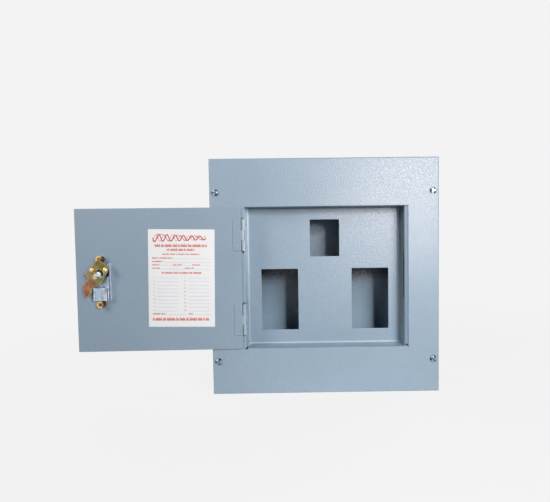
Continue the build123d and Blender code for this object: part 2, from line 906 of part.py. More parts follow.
def bus_bar(side):
    """Copper bar with one tab for each pole, pointing out to its window."""
    x = bar_center(side)
    z = base_center()[1]
    half_w = bus_bar_width / 2
    half_l = bar_length() / 2
    y1 = base_front()
    y0 = y1 - bus_bar_thickness
    body = block(x - half_w, x + half_w, y0, y1, z - half_l, z + half_l)
    for index in range(pole_count):
        tab_z = branch_window_z + (index - (pole_count - 1) / 2) * pole_pitch
        edge = x + side * half_w
        end = edge + side * tab_length
        root = edge - side * over
        tab = block(min(root, end), max(root, end), y0, y1, tab_z - tab_width / 2, tab_z + tab_width / 2)
        tab -= rod(edge + side * tab_length / 2, tab_z, bus_screw_radius, y0 - over, y1 + over)
        body += tab
    for pz in bar_screw_heights():
        body -= rod(x, pz, bus_screw_radius + hole_clearance, y0 - over, y1 + over)
    return body


def bus_screws():
    group = None
    face = base_front() - bus_bar_thickness
    for side in (-1, 1):
        for z in bar_screw_heights():
            body = domed_screw(bar_center(side), z, face, bus_screw_radius, base_back() - face,
                               bus_screw_head_radius, bus_screw_head, bus_screw_turn)
            group = body if group is None else group + body
    return group


# Earthing bar
def ground_z():
    return -box_height / 2 + sheet + ground_bar_above_bottom


def ground_foot_places():
    reach = ground_bar_length / 2 - ground_foot_length / 2
    return [(window_x - reach, ground_z()), (window_x + reach, ground_z())]


def ground_bar():
    x = window_x
    z = ground_z()
    back = -sheet - ground_foot_height
    half = ground_bar_length / 2
    body = block(x - half, x + half, back - ground_bar_height, back, z - ground_bar_width / 2,
                 z + ground_bar_width / 2)
    for index in range(ground_wire_holes):
        px = x + (index - (ground_wire_holes - 1) / 2) * ground_wire_pitch
        middle = back - ground_bar_height / 2
        body -= Pos(px, middle, z) * Cylinder(ground_wire_radius, ground_bar_width + 2 * over)
        body -= rod(px, z, ground_screw_radius + nut_fit, back - ground_bar_height - over, middle)
    for px, pz in ground_foot_places():
        body -= rod(px, pz, ground_screw_radius + hole_clearance, back - ground_bar_height - over, back + over)
    return body


def ground_bar_feet():
    group = None
    for x, z in ground_foot_places():
        half = ground_foot_length / 2
        body = block(x - half, x + half, -sheet - ground_foot_height, -sheet, z - half, z + half)
        body -= rod(x, z, ground_screw_radius + hole_clearance, -sheet - ground_foot_height - over, 0)
        group = body if group is None else group + body
    return group


def ground_bar_screws():
    """Two fixing screws and one clamp screw for each wire hole."""
    group = None
    face = -sheet - ground_foot_height - ground_bar_height
    for x, z in ground_foot_places():
        body = domed_screw(x, z, face, ground_screw_radius, -face - screw_end_inside_back,
                           ground_screw_head_radius, ground_screw_head, foot_screw_turn)
        group = body if group is None else group + body
    for index in range(ground_wire_holes):
        px = window_x + (index - (ground_wire_holes - 1) / 2) * ground_wire_pitch
        reach = ground_bar_height / 2 - ground_wire_radius
        turn = clamp_screw_turn + clamp_screw_turn_step * index
        body = domed_screw(px, ground_z(), face, ground_screw_radius, reach,
                           ground_screw_head_radius, ground_screw_head, turn)
        group += body
    return group


def main():
    os.makedirs("parts", exist_ok=True)
    save("enclosure_box", enclosure_box())
    save("front_cover", front_cover())
    save("dead_front_pan", dead_front_pan())
    save("door", door())
    for name, z in zip(("upper", "lower"), hinge_heights):
        save(name + "_hinge_door_leaf", door_leaf(z))
        save(name + "_hinge_frame_leaf", frame_leaf(z))
        save(name + "_hinge_pin", hinge_pin(z))
    save("hinge_rivets_door", door_rivets())
    save("hinge_rivets_frame", frame_rivets())
    save("cover_screws", cover_screws())
    save("cover_nuts", cover_nuts())
    save("directory_card", directory_card())
    save("latch_bracket", opened(latch_bracket()))
    save("latch_block", opened(latch_block()))
    save("latch_insert", opened(latch_insert()))
    save("latch_studs", opened(latch_studs()))
    save("latch_nuts", opened(latch_nuts()))
    save("latch_barrel", opened(latch_barrel()))
    save("latch_spindle", opened(latch_spindle()))
    save("latch_cam", opened(latch_cam()))
    save("latch_cam_screws", opened(latch_cam_screws()))
    save("latch_escutcheon", opened(latch_escutcheon()))
    save("latch_knob", opened(latch_knob()))
    save("bus_base", bus_base())
    save("base_spacers", base_spacers())
    save("base_screws", base_screws())
    save("bus_bar_left", bus_bar(-1))
    save("bus_bar_right", bus_bar(1))
    save("bus_screws", bus_screws())
    save("ground_bar", ground_bar())
    save("ground_bar_feet", ground_bar_feet())
    save("ground_bar_screws", ground_bar_screws())


main()
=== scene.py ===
import bpy
import bmesh
import json
import math
from mathutils import Matrix, Vector


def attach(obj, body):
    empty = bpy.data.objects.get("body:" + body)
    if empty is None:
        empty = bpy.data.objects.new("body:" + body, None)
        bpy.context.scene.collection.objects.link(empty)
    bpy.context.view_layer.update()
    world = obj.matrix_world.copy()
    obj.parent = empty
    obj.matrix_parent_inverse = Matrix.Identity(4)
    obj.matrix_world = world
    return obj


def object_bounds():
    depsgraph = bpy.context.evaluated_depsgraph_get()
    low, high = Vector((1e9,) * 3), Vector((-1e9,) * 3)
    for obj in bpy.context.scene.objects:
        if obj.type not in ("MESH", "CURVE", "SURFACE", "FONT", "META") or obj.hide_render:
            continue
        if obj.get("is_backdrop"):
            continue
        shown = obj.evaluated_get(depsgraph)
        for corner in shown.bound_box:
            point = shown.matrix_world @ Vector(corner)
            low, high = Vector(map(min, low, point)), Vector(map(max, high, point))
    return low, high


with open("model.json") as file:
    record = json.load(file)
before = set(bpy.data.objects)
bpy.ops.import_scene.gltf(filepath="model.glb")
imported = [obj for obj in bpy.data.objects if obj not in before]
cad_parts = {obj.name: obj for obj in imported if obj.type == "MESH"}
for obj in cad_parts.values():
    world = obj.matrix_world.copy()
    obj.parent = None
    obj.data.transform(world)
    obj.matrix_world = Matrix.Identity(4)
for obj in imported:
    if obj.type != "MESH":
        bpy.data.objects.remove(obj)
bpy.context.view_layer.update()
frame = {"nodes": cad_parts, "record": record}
nodes = frame["nodes"]
print("frame loaded:", len(nodes), "pieces")

# The camera stands where the photograph was taken from: these are the fitted place and angles
camera = {
    "place": (-0.0250, -0.7015, 0.0539),
    "yaw": 0.470,
    "pitch": 2.289,
    "roll": 0.723,
    "focalPixels": 373.55,
    "centrePixels": (312.59, 258.10),
    "imagePixels": (550, 502),
    "sensor": 36.0,
    "nearest": 0.02,
    "farthest": 30.0,
}


def addObject(name, data):
    thing = bpy.data.objects.new(name, data)
    bpy.context.scene.collection.objects.link(thing)
    return thing


def makeCamera(c):
    width, height = c["imagePixels"]
    data = bpy.data.cameras.new("camera")
    data.sensor_width = c["sensor"]
    data.lens = c["focalPixels"] / width * c["sensor"]
    data.shift_x = (width / 2 - c["centrePixels"][0]) / width
    data.shift_y = (c["centrePixels"][1] - height / 2) / width
    data.clip_start = c["nearest"]
    data.clip_end = c["farthest"]
    turn = Matrix.Rotation(math.radians(-c["yaw"]), 4, "Z")
    tilt = Matrix.Rotation(math.radians(90 - c["pitch"]), 4, "X")
    roll = Matrix.Rotation(math.radians(-c["roll"]), 4, "Z")
    thing = addObject("camera", data)
    thing.matrix_world = Matrix.Translation(c["place"]) @ turn @ tilt @ roll
    bpy.context.scene.camera = thing


makeCamera(camera)
print("camera placed")

# The planes and places that the finishes are measured from
millimetres = 1000.0    # in a metre
flange = 0.014          # width of the pan's flanges, which lie behind the cover


# The first and the seventh corner of a piece's box are its lowest and its highest
def cornersOf(name):
    box = nodes[name].bound_box
    return Vector(box[0]), Vector(box[6])


def placeOfJoint(name):
    joints = frame["record"]["behaviour"]["joints"]
    return next(joint["pos_m"] for joint in joints if joint["name"] == name)


coverLow, coverHigh = cornersOf("front_cover")
panLow, panHigh = cornersOf("dead_front_pan")
walls = {"left": panLow.x + flange, "right": panHigh.x - flange,
         "bottom": panLow.z + flange, "top": panHigh.z - flange}
spindleMiddle = Vector(placeOfJoint("latch_turn"))


# Node helpers
def newMaterial(name):
    material = bpy.data.materials.new(name)
    material.use_nodes = True
    tree = material.node_tree
    tree.nodes.clear()
    out = tree.nodes.new("ShaderNodeOutputMaterial")
    shader = tree.nodes.new("ShaderNodeBsdfPrincipled")
    tree.links.new(shader.outputs[0], out.inputs[0])
    return material, tree, shader


def nodeOf(tree, kind):
    return next(node for node in tree.nodes if node.type == kind)


def setInput(tree, node, key, value):
    if isinstance(value, bpy.types.NodeSocket):
        tree.links.new(value, node.inputs[key])
    else:
        node.inputs[key].default_value = value


def addNode(tree, kind, inputs=None, **settings):
    node = tree.nodes.new(kind)
    for key, value in settings.items():
        setattr(node, key, value)
    for key, value in (inputs or {}).items():
        setInput(tree, node, key, value)
    return node


def mathNode(tree, operation, a, b=0.0, c=0.0, clamp=False):
    node = addNode(tree, "ShaderNodeMath", operation=operation, use_clamp=clamp)
    for index, value in enumerate((a, b, c)):
        if len(node.inputs) > index:
            setInput(tree, node, index, value)
    return node.outputs[0]


def product(tree, a, b, clamp=False):
    return mathNode(tree, "MULTIPLY", a, b, clamp=clamp)


def mixColours(tree, amount, a, b):
    node = addNode(tree, "ShaderNodeMix", data_type="RGBA")
    for index, value in ((0, amount), (6, a), (7, b)):
        setInput(tree, node, index, value)
    return node.outputs[2]


# A value from one range spread over another, and held at its ends
def spread(tree, value, low, high, toLow=0.0, toHigh=1.0):
    ranges = {"From Min": low, "From Max": high, "To Min": toLow, "To Max": toHigh}
    return addNode(tree, "ShaderNodeMapRange", {"Value": value, **ranges}, clamp=True).outputs[0]


# The mask of one measure times the mask of another, each with its range
def both(tree, a, rangeOfA, b, rangeOfB):
    return product(tree, spread(tree, a, *rangeOfA), spread(tree, b, *rangeOfB))


def rampColours(tree, value, stops):
    node = addNode(tree, "ShaderNodeValToRGB", {0: value})
    ramp = node.color_ramp
    while len(ramp.elements) < len(stops):
        ramp.elements.new(0.5)
    for element, (position, colour) in zip(ramp.elements, stops):
        element.position = position
        element.color = colour
    return node.outputs[0]


def placeOn(tree):
    return addNode(tree, "ShaderNodeTexCoord").outputs["Object"]


# Millimetres from a start: X runs to the right, Y away from the front and Z up
def along(tree, axis, start=0.0):
    parts = addNode(tree, "ShaderNodeSeparateXYZ", {0: placeOn(tree)})
    return mathNode(tree, "MULTIPLY_ADD", parts.outputs[axis], millimetres, -millimetres * start)


# The distance from where two such measures start
def reachOf(tree, right, up):
    return mathNode(tree, "SQRT", mathNode(tree, "MULTIPLY_ADD", right, right, product(tree, up, up)))


def noise(tree, place, scale, detail=2.0, roughness=0.5):
    inputs = {"Vector": place, "Scale": scale, "Detail": detail, "Roughness": roughness}
    return addNode(tree, "ShaderNodeTexNoise", inputs).outputs["Fac"]


def addBump(tree, shader, height, strength, depth, under=None):
    bump = addNode(tree, "ShaderNodeBump", {"Height": height, "Strength": strength, "Distance": depth})
    if under:
        setInput(tree, bump, "Normal", under)
    setInput(tree, shader, "Normal", bump.outputs[0])


# Lays a colour over a material where a mask says so
def overlay(material, mask, colour):
    tree = material.node_tree
    shader = nodeOf(tree, "BSDF_PRINCIPLED")
    under = shader.inputs["Base Color"].links[0].from_socket
    setInput(tree, shader, "Base Color", mixColours(tree, mask, under, colour))


bevelSamples = 4


def roundedNormal(tree, radius):
    return addNode(tree, "ShaderNodeBevel", {"Radius": radius}, samples=bevelSamples).outputs[0]


# Edges and folds: where the normal of a rounded copy leaves the flat one
def edgeMask(tree, rounded, gain):
    flat = addNode(tree, "ShaderNodeNewGeometry").outputs["True Normal"]
    same = addNode(tree, "ShaderNodeVectorMath", {0: rounded, 1: flat}, operation="DOT_PRODUCT")
    return product(tree, mathNode(tree, "SUBTRACT", 1.0, same.outputs["Value"], clamp=True), gain, clamp=True)


# A display colour, 0 to 255, as the linear colour that the shaders take
def linear(red, green, blue):
    out = []
    for value in (red, green, blue):
        v = value / 255
        out.append(v / 12.92 if v <= 0.04045 else ((v + 0.055) / 1.055) ** 2.4)
    return (*out, 1.0)


# Textured powder coat: pebbles of two sizes and a soft uneven tone, used by every painted sheet
powder = {
    "inputs": {"Fine Scale": 1500.0, "Coarse Scale": 540.0, "Coarse Weight": 1.0},
    "outputs": ("Raised", "Tone", "Pebble"),
    "fineWeight": 0.35,
    "coarseDetail": (1.0, 0.4),
    "toneScale": 9.0,
    "range": (0.3, 0.7),
}


def powderGroup(g):
    group = bpy.data.node_groups.new("powderTexture", "ShaderNodeTree")
    face = group.interface
    for name, value in g["inputs"].items():
        face.new_socket(name, in_out="INPUT", socket_type="NodeSocketFloat").default_value = value
    for name in g["outputs"]:
        face.new_socket(name, in_out="OUTPUT", socket_type="NodeSocketFloat")
    entry = group.nodes.new("NodeGroupInput")
    leave = group.nodes.new("NodeGroupOutput")
    place = placeOn(group)
    fine = noise(group, place, entry.outputs["Fine Scale"])
    coarse = noise(group, place, entry.outputs["Coarse Scale"], *g["coarseDetail"])
    tone = noise(group, place, g["toneScale"])
    big = product(group, coarse, entry.outputs["Coarse Weight"])
    raised = mathNode(group, "MULTIPLY_ADD", fine, g["fineWeight"], big)
    soft, pebble = spread(group, tone, *g["range"]), spread(group, coarse, *g["range"])
    for name, value in zip(g["outputs"], (raised, soft, pebble)):
        setInput(group, leave, name, value)
    return group


powderTexture = powderGroup(powder)
paint = {
    "colour": linear(154, 176, 194),
    "dark": linear(147, 169, 187),
    "speck": linear(166, 188, 205),
    "speckAmount": 0.3,
    "edge": linear(196, 212, 226),
    "edgeAmount": 1.6,
    "roughness": 0.39,
    "roughnessChange": 0.06,
    "specular": (0.76, 0.99),
    "specularRange": (0.25, 0.75),
    "glossTint": (1.0, 0.82, 0.75, 1.0),
    "texture": powder["inputs"],
    "bump": 0.6,
    "bumpDepth": 0.0006,
    "foldRadius": 0.0014,
}
# The door's coat is smoother, and its colours are a little darker as painted shade
doorPaint = {
    **paint,
    "colour": linear(150, 172, 190),
    "dark": linear(144, 166, 184),
    "speckAmount": 0.12,
    "bump": 0.2,
}
# The box's coat is duller between its pebbles
insidePaint = {**paint, "roughness": 0.42, "specular": (0.2, 1.1)}
# The hinges' fixed leaves and their pins are painted paler, as painted light
leafPaint = {
    **paint,
    "colour": linear(166, 188, 205),
    "dark": linear(159, 181, 199),
    "speck": linear(178, 199, 215),
}


def paintMaterial(name, p):
    material, tree, shader = newMaterial(name)
    texture = addNode(tree, "ShaderNodeGroup", p["texture"], node_tree=powderTexture)
    pebble = texture.outputs["Pebble"]
    toned = mixColours(tree, texture.outputs["Tone"], p["dark"], p["colour"])
    specked = mixColours(tree, product(tree, pebble, p["speckAmount"]), toned, p["speck"])
    rounded = roundedNormal(tree, p["foldRadius"])
    # Painted highlight: edges and folds are made lighter where the rounded normal leaves the flat one
    withEdgeHighlight = mixColours(tree, edgeMask(tree, rounded, p["edgeAmount"]), specked, p["edge"])
    setInput(tree, shader, "Base Color", withEdgeHighlight)
    ends = p["roughness"] + p["roughnessChange"], p["roughness"] - p["roughnessChange"]
    setInput(tree, shader, "Roughness", spread(tree, pebble, 0.0, 1.0, *ends))
    gloss = spread(tree, pebble, *p["specularRange"], *p["specular"])
    setInput(tree, shader, "Specular IOR Level", gloss)
    setInput(tree, shader, "Specular Tint", p["glossTint"])
    addBump(tree, shader, texture.outputs["Raised"], p["bump"], p["bumpDepth"], rounded)
    return material


coat = paintMaterial("greyBlueCoat", paint)
insideCoat = paintMaterial("insideCoat", insidePaint)
doorCoat = paintMaterial("doorCoat", doorPaint)
panCoat = paintMaterial("recessCoat", paint)
leafCoat = paintMaterial("leafCoat", leafPaint)
print("painted finishes made")

# Every metal has a fine grain and patches of a second colour, and lists only what differs from this one
plainMetal = {
    "roughness": 0.3,
    "roughnessChange": (-0.08, 0.1),
    "stretch": (1.0, 1.0, 1.0),
    "grainScale": 900.0,
    "grainRange": (0.3, 0.7),
    "patchScale": 130.0,
    "patchRange": (0.35, 0.65),
    "detail": 3.0,
    "bump": 0.1,
    "bumpDepth": 0.0003,
}
metals = {
    "brightZinc": {
        "colour": linear(176, 187, 200), "patches": linear(158, 168, 182), "grainScale": 1400.0,
    },
    "screwZinc": {
        "colour": linear(176, 187, 198), "patches": linear(138, 150, 164), "roughness": 0.34,
        "grainScale": 1400.0, "patchScale": 420.0,
    },
    "bracketZinc": {
        "colour": linear(208, 220, 234), "patches": linear(148, 160, 176), "roughness": 0.5,
        "patchScale": 220.0,
    },
    "castZinc": {
        "colour": linear(128, 144, 162), "patches": linear(186, 200, 214), "roughness": 0.42,
        "stretch": (1.0, 1.0, 0.35), "patchScale": 420.0, "bump": 0.3,
    },
    "spindleZinc": {
        "colour": linear(226, 228, 232), "patches": linear(196, 200, 208),
    },
    "studSteel": {
        "colour": linear(170, 174, 180), "patches": linear(138, 140, 146), "roughness": 0.36,
        "patchScale": 300.0,
    },
    "turnedBrass": {
        "colour": linear(244, 222, 166), "patches": linear(196, 152, 86), "roughness": 0.26,
        "grainScale": 1200.0, "patchScale": 320.0,
    },
    "nutBrass": {
        "colour": linear(242, 214, 150), "patches": linear(204, 160, 92),
        "grainScale": 1200.0, "patchScale": 320.0,
    },
    "plainCopper": {
        "colour": linear(200, 130, 96), "patches": linear(168, 104, 76), "roughness": 0.32,
    },
    "barAluminium": {
        "colour": linear(200, 202, 205), "patches": linear(170, 172, 176), "roughness": 0.35,
        "stretch": (1.0, 1.0, 8.0), "bump": 0.06,
    },
    "yellowPassivated": {
        "colour": linear(150, 140, 80), "patches": linear(110, 112, 60), "roughness": 0.34,
        "patchScale": 240.0,
    },
}


def metalMaterial(name, m):
    material, tree, shader = newMaterial(name)
    place = addNode(tree, "ShaderNodeMapping", {"Vector": placeOn(tree), "Scale": m["stretch"]}).outputs[0]
    grain = noise(tree, place, m["grainScale"], m["detail"])
    patches = spread(tree, noise(tree, place, m["patchScale"], m["detail"]), *m["patchRange"])
    setInput(tree, shader, "Base Color", mixColours(tree, patches, m["colour"], m["patches"]))
    ends = [m["roughness"] + change for change in m["roughnessChange"]]
    setInput(tree, shader, "Roughness", spread(tree, grain, *m["grainRange"], *ends))
    setInput(tree, shader, "Metallic", 1.0)
    addBump(tree, shader, grain, m["bump"], m["bumpDepth"])
    return material


metal = {name: metalMaterial(name, {**plainMetal, **entry}) for name, entry in metals.items()}
print("metal finishes made")

# The pan: painted light on its left wall and its bends, painted shade on its right and top walls, and painted
# shade with dimmed gloss on the stop ledge at its right, which lies in the cover's lee. Edges are in
# millimetres from the wall that they belong to, and fades are up from the panel's middle.
pan = {
    "leftWallEdge": (2.8, 1.8),
    "leftWallFade": (-60.0, 80.0, 0.3, 1.0),
    "bendRise": (2.9, 2.2, 0.0, 0.6),
    "bendFall": (0.8, 0.2, 1.0, 0.0),
    "rightWallEdge": (-1.7, -1.2),
    "rightWallFade": (-100.0, 60.0, 0.55, 0.9),
    "topWall": (-1.6, -1.2, 0.0, 0.7),
    "ledge": (0.3, 0.9, 0.0, 1.0),
    "ledgeGloss": (0.3, 0.9, 1.0, 0.3),
    "bright": linear(214, 232, 244),
    "shaded": linear(130, 152, 172),
    "paintedShade": linear(72, 88, 92),
}


def shadePan(r):
    tree = panCoat.node_tree
    up = along(tree, "Z")
    fromLeft, fromRight = along(tree, "X", walls["left"]), along(tree, "X", walls["right"])
    fromBottom, fromTop = along(tree, "Z", walls["bottom"]), along(tree, "Z", walls["top"])
    overlay(panCoat, both(tree, fromLeft, r["leftWallEdge"], up, r["leftWallFade"]), r["bright"])
    overlay(panCoat, both(tree, fromBottom, r["bendRise"], fromBottom, r["bendFall"]), r["bright"])
    overlay(panCoat, both(tree, fromRight, r["rightWallEdge"], up, r["rightWallFade"]), r["paintedShade"])
    overlay(panCoat, spread(tree, fromRight, *r["ledge"]), r["shaded"])
    overlay(panCoat, spread(tree, fromTop, *r["topWall"]), r["paintedShade"])
    shader = nodeOf(tree, "BSDF_PRINCIPLED")
    gloss = shader.inputs["Specular IOR Level"].links[0].from_socket
    dimmed = product(tree, gloss, spread(tree, fromRight, *r["ledgeGloss"]))
    setInput(tree, shader, "Specular IOR Level", dimmed)


shadePan(pan)

# Hinges: painted light on the fixed leaves, like that on the wall behind them, and a painted highlight that
# makes the knuckles paler than the door
hinges = {
    "leafEdge": (-0.4, 0.1),
    "knuckle": (-3.6, -3.0, 0.0, 0.9),
    "knuckleHighlight": linear(178, 197, 211),
}


def shadeHinges(h):
    tree = leafCoat.node_tree
    fromLeft, up = along(tree, "X", walls["left"]), along(tree, "Z")
    overlay(leafCoat, both(tree, fromLeft, h["leafEdge"], up, pan["leftWallFade"]), pan["bright"])
    tree = doorCoat.node_tree
    overlay(doorCoat, spread(tree, along(tree, "X", walls["left"]), *h["knuckle"]), h["knuckleHighlight"])


shadeHinges(hinges)

# Black painted shade in the pan's two open lower corners and at the gaps at the hinges' inner ends. For each
# one: the wall that it is measured from, millimetres to the right of it and above the bottom wall, and its
# radius.
notchShade = {
    "places": (("left", 0.0, 0.3, 1.9), ("right", 3.7, 2.4, 1.8), ("left", -2.1, 156.5, 1.7),
               ("left", -2.2, 73.6, 1.3)),
    "soft": 0.4,
    "depth": (15.5, 11.5),      # behind the cover's face
    "colour": linear(20, 24, 30),
}


def shadeNotches(material, g):
    tree = material.node_tree
    front = spread(tree, along(tree, "Y", coverLow.y), *g["depth"])
    for side, right, up, radius in g["places"]:
        reach = reachOf(tree, along(tree, "X", walls[side] + right / millimetres),
                        along(tree, "Z", walls["bottom"] + up / millimetres))
        mask = product(tree, front, spread(tree, reach, radius, radius - g["soft"]))
        overlay(material, mask, g["colour"])


for material in (panCoat, leafCoat, coat):
    shadeNotches(material, notchShade)

# Painted light on the box's inner back wall, seen through the windows, and painted shade that darkens it
# towards the top of the two lower ones
backWall = {
    "fade": (-84.0, -14.0, 0.0, 0.55),
    "fadeCut": (15.0, 30.0, 1.0, 0.6),
    "band": (-16.0, -3.0, 0.0, 0.9),
    "bandCut": (15.0, 30.0, 1.0, 0.0),
    "innerSide": (-0.4, -0.6, 0.0, 1.0),
    "innerDepth": (-6.0, -4.0),
    "litAmount": 0.85,
    "lit": linear(164, 194, 218),
    "dark": linear(42, 58, 68),
}


def shadeBackWall(b):
    tree = insideCoat.node_tree
    up, depth = along(tree, "Z"), along(tree, "Y")
    normal = addNode(tree, "ShaderNodeTexCoord").outputs["Normal"]
    facing = addNode(tree, "ShaderNodeSeparateXYZ", {0: normal}).outputs["Y"]
    inner = both(tree, facing, b["innerSide"], depth, b["innerDepth"])
    overlay(insideCoat, product(tree, inner, b["litAmount"]), b["lit"])
    for rise, cut in (("fade", "fadeCut"), ("band", "bandCut")):
        overlay(insideCoat, product(tree, both(tree, up, b[rise], up, b[cut]), inner), b["dark"])


shadeBackWall(backWall)

# Cover screws: painted dark reflections in arcs round each domed head, and painted shade on the slot floor
screws = {
    "sideInset": 9.8,       # from the cover's sides to a screw's middle, in millimetres
    "endInset": 54.0,       # and from its top and bottom
    "rim": (1.6, 2.6),
    "arcs": (3.0, -1.57),   # arcs in a turn, and where the first one starts
    "arcRange": (-0.1, 0.4),
    "slotReach": (3.7, 3.4),
    "slotFloor": (-2.45, -2.3),
    "darkReflectionAndShade": linear(70, 80, 90),
}


def shadeScrews(w):
    material = metal["screwZinc"]
    tree = material.node_tree
    offsets = []
    for axis, half, inset in (("X", coverHigh.x, w["sideInset"]), ("Z", coverHigh.z, w["endInset"])):
        place = along(tree, axis)
        side = mathNode(tree, "SIGN", place)
        offsets.append(mathNode(tree, "MULTIPLY_ADD", side, inset - millimetres * half, place))
    right, up = offsets
    reach = reachOf(tree, right, up)
    angle = mathNode(tree, "ARCTAN2", up, right)
    arcs = mathNode(tree, "SINE", mathNode(tree, "MULTIPLY_ADD", angle, *w["arcs"]))
    overlay(material, both(tree, reach, w["rim"], arcs, w["arcRange"]), w["darkReflectionAndShade"])
    depth = along(tree, "Y", coverLow.y)
    overlay(material, both(tree, reach, w["slotReach"], depth, w["slotFloor"]), w["darkReflectionAndShade"])


shadeScrews(screws)

# Latch spindle: a bright end in a grey rotor, with painted shadow at its upper right
spindle = {
    "end": (3.2, 3.7),
    "rotor": linear(188, 196, 204),
    "shadowSide": (-0.6, 0.5),
    "shadowColour": linear(34, 32, 30),
}


def shadeSpindle(s):
    material = metal["spindleZinc"]
    tree = material.node_tree
    right, up = along(tree, "X", spindleMiddle.x), along(tree, "Z", spindleMiddle.z)
    reach = reachOf(tree, right, up)
    side = mathNode(tree, "DIVIDE", mathNode(tree, "ADD", right, up), reach)
    overlay(material, spread(tree, reach, *s["end"]), s["rotor"])
    overlay(material, both(tree, reach, s["end"], side, s["shadowSide"]), s["shadowColour"])


shadeSpindle(spindle)

# Latch nuts and studs: the nuts are darker towards the right, and the studs' ends are brown
fasteners = {
    "nutShade": (0.3, 2.7, 0.0, 0.85),
    "nutShadow": linear(96, 50, 38),
    "studEnd": (-5.0, -5.5, 0.0, 0.9),
    "studShade": linear(104, 70, 50),
}


def shadeFasteners(f):
    tree = metal["nutBrass"].node_tree
    side = spread(tree, along(tree, "X", spindleMiddle.x), *f["nutShade"])
    overlay(metal["nutBrass"], side, f["nutShadow"])
    tree = metal["studSteel"].node_tree
    end = spread(tree, along(tree, "Y", coverLow.y), *f["studEnd"])
    overlay(metal["studSteel"], end, f["studShade"])


shadeFasteners(fasteners)

# Latch block and bracket: painted highlights on the block's lower lip and on the bracket's raised right side
mounting = {
    "lip": (-40.6, -41.2, 0.0, 0.7),
    "lipHighlight": linear(206, 216, 226),
    "foot": (-9.0, -8.0),
    "side": (11.2, 11.8),
    "bright": linear(236, 242, 250),
}


def shadeMounting(b):
    tree = metal["castZinc"].node_tree
    lip = spread(tree, along(tree, "Z", spindleMiddle.z), *b["lip"])
    overlay(metal["castZinc"], lip, b["lipHighlight"])
    tree = metal["bracketZinc"].node_tree
    right, depth = along(tree, "X", spindleMiddle.x), along(tree, "Y", coverLow.y)
    foot = both(tree, depth, b["foot"], right, b["side"])
    overlay(metal["bracketZinc"], foot, b["bright"])
    # The painted highlight on the bracket's side is not metal
    metalShare = mathNode(tree, "SUBTRACT", 1.0, foot)
    setInput(tree, nodeOf(tree, "BSDF_PRINCIPLED"), "Metallic", metalShare)


shadeMounting(mounting)

# Latch cam: the mottled tones of its passivation. For each spot: millimetres to the right of the spindle
# and above it, its radius and its colour.
cam = {
    "noiseScale": 260.0,
    "noiseDetail": 3.0,
    "noiseAmount": 2.1,
    "slope": (0.022, 0.004),    # how the tones move along the ramp, a millimetre to the right and up
    "toneAmount": 0.85,
    "tones": ((0.0, linear(150, 86, 70)), (0.2, linear(176, 132, 104)), (0.34, linear(104, 100, 56)),
              (0.5, linear(170, 150, 104)), (0.64, linear(84, 104, 48)), (0.8, linear(128, 92, 66)),
              (1.0, linear(150, 140, 104))),
    "spots": ((-1.7, 16.9, 6.0, linear(122, 86, 62)), (4.7, 11.4, 5.5, linear(98, 114, 50)),
              (3.9, -6.5, 6.0, linear(86, 120, 42)), (-6.0, -4.8, 4.5, linear(206, 206, 190)),
              (-8.5, -14.2, 6.5, linear(134, 98, 70)), (-20.9, -22.0, 6.5, linear(176, 120, 100)),
              (-14.0, -28.3, 5.5, linear(164, 162, 84)), (-20.1, -32.9, 5.0, linear(130, 100, 58)),
              (8.6, 3.6, 3.0, linear(226, 176, 152)), (-16.2, -0.5, 5.0, linear(150, 136, 78))),
    "spotCore": 0.35,           # share of a spot's radius that has its full colour
    "spotAmount": 0.8,
    "edgeRadius": 0.0013,
    "edgeAmount": 6.0,
    "edge": linear(232, 224, 184),
}


def shadeCam(c):
    material = metal["yellowPassivated"]
    tree = material.node_tree
    amount = c["noiseAmount"]
    value = noise(tree, placeOn(tree), c["noiseScale"], c["noiseDetail"])
    value = mathNode(tree, "MULTIPLY_ADD", value, amount, (1 - amount) / 2)
    for axis, start, slope in zip("XZ", (spindleMiddle.x, spindleMiddle.z), c["slope"]):
        value = mathNode(tree, "MULTIPLY_ADD", along(tree, axis, start), slope, value)
    overlay(material, c["toneAmount"], rampColours(tree, value, c["tones"]))
    for right, up, radius, colour in c["spots"]:
        reach = reachOf(tree, along(tree, "X", spindleMiddle.x + right / millimetres),
                        along(tree, "Z", spindleMiddle.z + up / millimetres))
        overlay(material, spread(tree, reach, radius, radius * c["spotCore"], 0.0, c["spotAmount"]), colour)
    # A painted highlight along the cam's edges
    overlay(material, edgeMask(tree, roundedNormal(tree, c["edgeRadius"]), c["edgeAmount"]), c["edge"])


shadeCam(cam)
print("pan, hinges, box, screws and latch shaded")

# Plastics and inks: a faint moulded grain, and each one's colour and roughness
plainPlastic = {
    "grainScale": 700.0,
    "grainDetail": 3.0,
    "grainRange": (0.3, 0.7, 0.0, 0.35),
    "shade": 0.6,
    "bump": 0.15,
    "bumpDepth": 0.0003,
}
plastics = {
    "mouldedInsulator": {"colour": linear(52, 48, 46), "roughness": 0.5},
    "redInsert": {"colour": linear(158, 14, 36), "roughness": 0.4},
    "redInk": {"colour": linear(228, 70, 44), "roughness": 0.55},
    "paleInk": {"colour": linear(206, 198, 224), "roughness": 0.55},
}


def plasticMaterial(name, p):
    material, tree, shader = newMaterial(name)
    grain = noise(tree, placeOn(tree), p["grainScale"], p["grainDetail"])
    darker = (*(value * p["shade"] for value in p["colour"][:3]), 1.0)
    tone = mixColours(tree, spread(tree, grain, *p["grainRange"]), p["colour"], darker)
    setInput(tree, shader, "Base Color", tone)
    setInput(tree, shader, "Roughness", p["roughness"])
    addBump(tree, shader, grain, p["bump"], p["bumpDepth"])
    return material


plastic = {name: plasticMaterial(name, {**plainPlastic, **entry}) for name, entry in plastics.items()}

# Card: coated stock with faint smudges
stock = {
    "white": linear(255, 255, 255),
    "smudge": linear(246, 246, 250),
    "smudgeScale": 26.0,
    "smudgeRange": (0.55, 0.75, 0.0, 0.5),
    "fibreScale": 1500.0,
    "bump": 0.08,
    "bumpDepth": 0.0002,
    "roughness": 0.55,
    "specular": 1.0,
}


